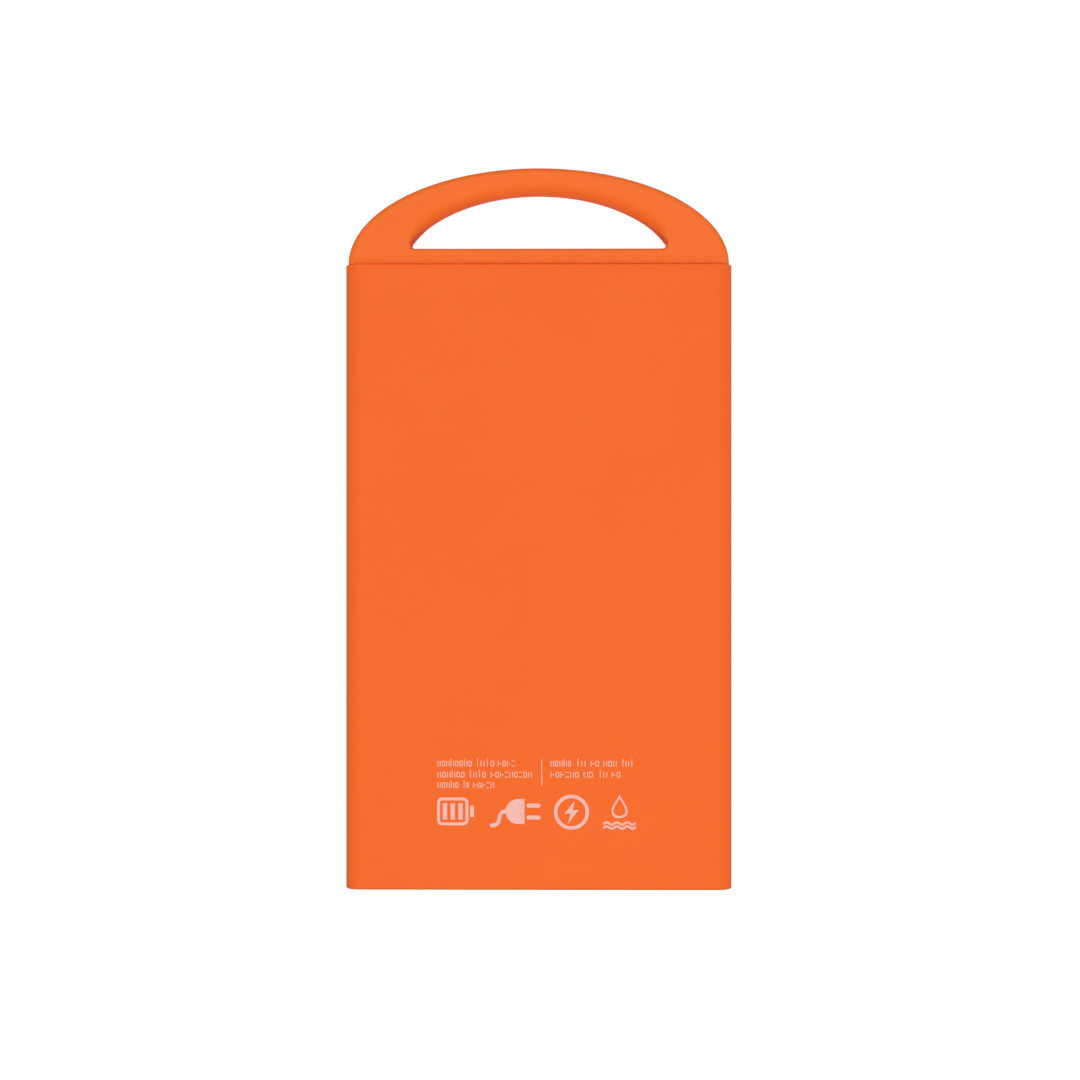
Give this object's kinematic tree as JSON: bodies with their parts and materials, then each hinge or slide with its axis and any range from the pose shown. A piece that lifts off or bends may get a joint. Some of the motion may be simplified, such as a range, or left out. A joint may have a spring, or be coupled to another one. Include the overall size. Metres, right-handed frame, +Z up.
{
  "type": "power bank",
  "caption": "Slim flat pocket power bank: orange metal sleeve, arched carrying handle with a finger opening, charging sockets, power button and charge lights on the opposite end.",
  "frame": {"origin": "centre of the footprint (bounding box), on the plane the power bank lies on, which is its plain face", "axes": "+X across the width, +Y along the length from the socket end to the handle, +Z up through the marked face"},
  "size_m": [0.0654, 0.1218, 0.01],
  "materials": {
    "sleeve_paint": "matte",
    "handle_plastic": "satin",
    "end_cap_plastic": "satin",
    "button_plastic": "satin",
    "screw_steel": "satin",
    "chassis_plastic": "matte",
    "cell_foil": "satin",
    "tab_aluminium": "satin",
    "tab_nickel": "satin",
    "board_laminate": "satin",
    "chip_black": "matte",
    "capacitor_ceramic": "satin",
    "ferrite": "matte",
    "copper_wire": "satin",
    "led_lens": "gloss",
    "clear_guide": "gloss",
    "polyimide_tape": "gloss",
    "adhesive_pad": "matte",
    "black_foam": "matte",
    "film_black": "satin",
    "lead_red": "satin",
    "lead_black": "satin",
    "socket_steel": "satin",
    "socket_insulator": "satin",
    "gold_contact": "polished",
    "switch_metal": "satin",
    "print_ink": "matte"
  },
  "bodies": {
    "housing": {"outer_sleeve": "sleeve_paint", "handle_cap": "handle_plastic", "port_end_cap": "end_cap_plastic", "end_cap_screws": "screw_steel", "inner_chassis": "chassis_plastic", "handle_screws": "screw_steel", "battery_cell": "cell_foil", "cell_tab_positive": "tab_aluminium", "cell_tab_negative": "tab_nickel", "protection_board": "board_laminate", "protection_ic": "chip_black", "protection_mosfet": "chip_black", "terminal_tape": "polyimide_tape", "cell_adhesive_pad": "adhesive_pad", "cell_end_foam": "black_foam", "insulation_film": "film_black", "positive_lead": "lead_red", "negative_lead": "lead_black", "main_board": "board_laminate", "board_screws": "screw_steel", "usb_a_shell": "socket_steel", "usb_a_tongue": "socket_insulator", "usb_a_contacts": "gold_contact", "micro_usb_shell": "socket_steel", "micro_usb_tongue": "socket_insulator", "micro_usb_contacts": "gold_contact", "inductor_core": "ferrite", "inductor_winding": "copper_wire", "power_controller_ic": "chip_black", "rectifier_diode": "chip_black", "filter_capacitors": "capacitor_ceramic", "chip_resistors": "chip_black", "indicator_leds": "led_lens", "light_guide": "clear_guide", "switch_frame": "switch_metal", "switch_dome": "switch_metal"},
    "button": {"power_button": "button_plastic", "switch_plunger": "socket_insulator"}
  },
  "joints": [
    {"name": "button_press", "type": "slide", "parent": "housing", "child": "button", "axis": [0, 1, 0], "range_m": [0, 0.0003], "stiffness_N_per_m": 3000, "springref_m": -0.0002, "deforming": ["switch_dome"]}
  ]
}
